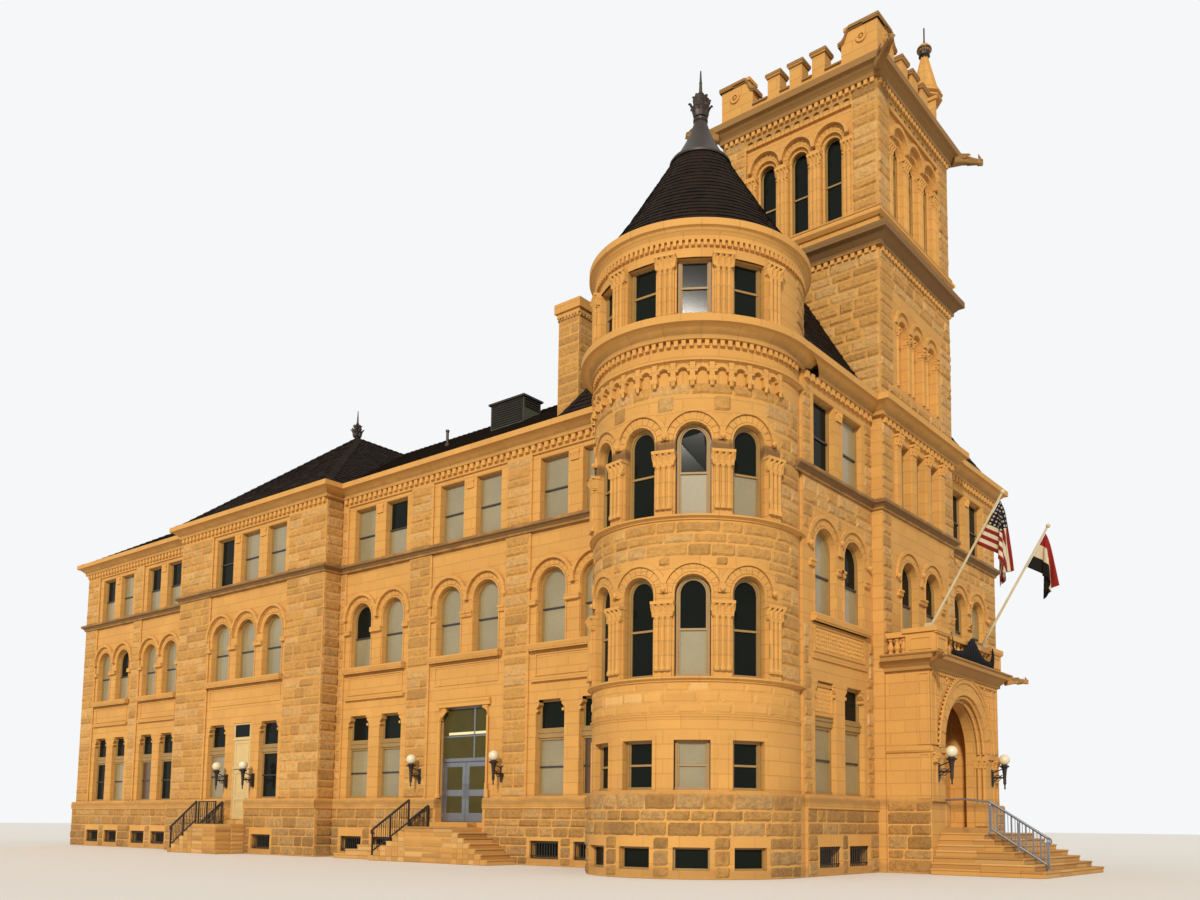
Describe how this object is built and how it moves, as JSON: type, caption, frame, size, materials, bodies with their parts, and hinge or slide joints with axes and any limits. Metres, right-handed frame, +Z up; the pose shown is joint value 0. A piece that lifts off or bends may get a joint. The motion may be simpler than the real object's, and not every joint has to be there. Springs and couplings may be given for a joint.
{
  "type": "town hall, 1:2 scale model",
  "caption": "Romanesque stone town hall with a round corner turret, a square bell tower, an arched porch with a balcony and a long side front.",
  "frame": {"origin": "on the ground where the planes of the two street fronts cross, under the edge of the corner turret", "axes": "+X out of the entrance front, +Y along the entrance front away from the long side front, +Z up"},
  "size_m": [24.015, 10.0098, 15.375],
  "materials": {
    "stone": "buff limestone, dressed in the bays and rock-faced on the base and the tower, weathered dark on the ledges",
    "step_stone": "worn limestone treads and rock-faced cheeks",
    "shingle": "dark brown slates in level courses, matt",
    "dark_metal": "iron painted brown-black, slightly rough",
    "deck": "grey roofing felt",
    "floor_boards": "plain boards",
    "grey_metal": "satin grey metal doors and frame",
    "painted_wood": "joinery painted cream",
    "glass": "dark window glass",
    "pole_paint": "pale painted poles",
    "cloth": "woven flag cloth"
  },
  "bodies": {
    "house": {"balcony": "stone", "balustrade": "stone", "bunting": "cloth", "chimney": "stone", "east_wall_north": "stone", "east_wall_south": "stone", "first_floor": "floor_boards", "flagpoles": "pole_paint", "main_door": "painted_wood", "main_roof": "shingle", "north_wall": "stone", "pavilion_door_frame": "painted_wood", "pavilion_finial": "dark_metal", "pavilion_steps": "step_stone", "pavilion_wall_left": "stone", "pavilion_wall_middle": "stone", "pavilion_wall_right": "stone", "porch_steps": "step_stone", "porch_walls": "stone", "railings": "dark_metal", "roof_vent": "dark_metal", "second_floor": "floor_boards", "side_door_frame": "grey_metal", "side_steps": "step_stone", "south_wall_end": "stone", "south_wall_left": "stone", "south_wall_over_door": "stone", "south_wall_right": "stone", "striped_flag": "cloth", "third_floor": "floor_boards", "tower_cornice": "stone", "tower_glass": "glass", "tower_parapet": "stone", "tower_pinnacle": "stone", "tower_roof": "deck", "tower_wall_east": "stone", "tower_wall_north": "stone", "tower_wall_south": "stone", "tower_wall_west": "stone", "tricolour_flag": "cloth", "turret_crown_wall": "stone", "turret_finial": "dark_metal", "turret_glass": "glass", "turret_lower_wall": "stone", "turret_middle_wall": "stone", "turret_roof": "shingle", "turret_upper_wall": "stone", "wall_lamps": "dark_metal", "west_wall": "stone", "window_glass": "glass"},
    "side_door_left_leaf": {"side_door_left": "grey_metal"},
    "side_door_right_leaf": {"side_door_right": "grey_metal"},
    "pavilion_door_leaf": {"pavilion_door": "painted_wood"}
  },
  "joints": [
    {"name": "side_door_left_hinge", "type": "hinge", "parent": "house", "child": "side_door_left_leaf", "pos_m": [-7.27, 0.093, 1.2], "axis": [0, 0, -1], "range_deg": [0, 90]},
    {"name": "side_door_right_hinge", "type": "hinge", "parent": "house", "child": "side_door_right_leaf", "pos_m": [-6.13, 0.093, 1.2], "axis": [0, 0, 1], "range_deg": [0, 90]},
    {"name": "pavilion_door_hinge", "type": "hinge", "parent": "house", "child": "pavilion_door_leaf", "pos_m": [-13.355, -0.347, 1.2], "axis": [0, 0, -1], "range_deg": [0, 90]}
  ]
}
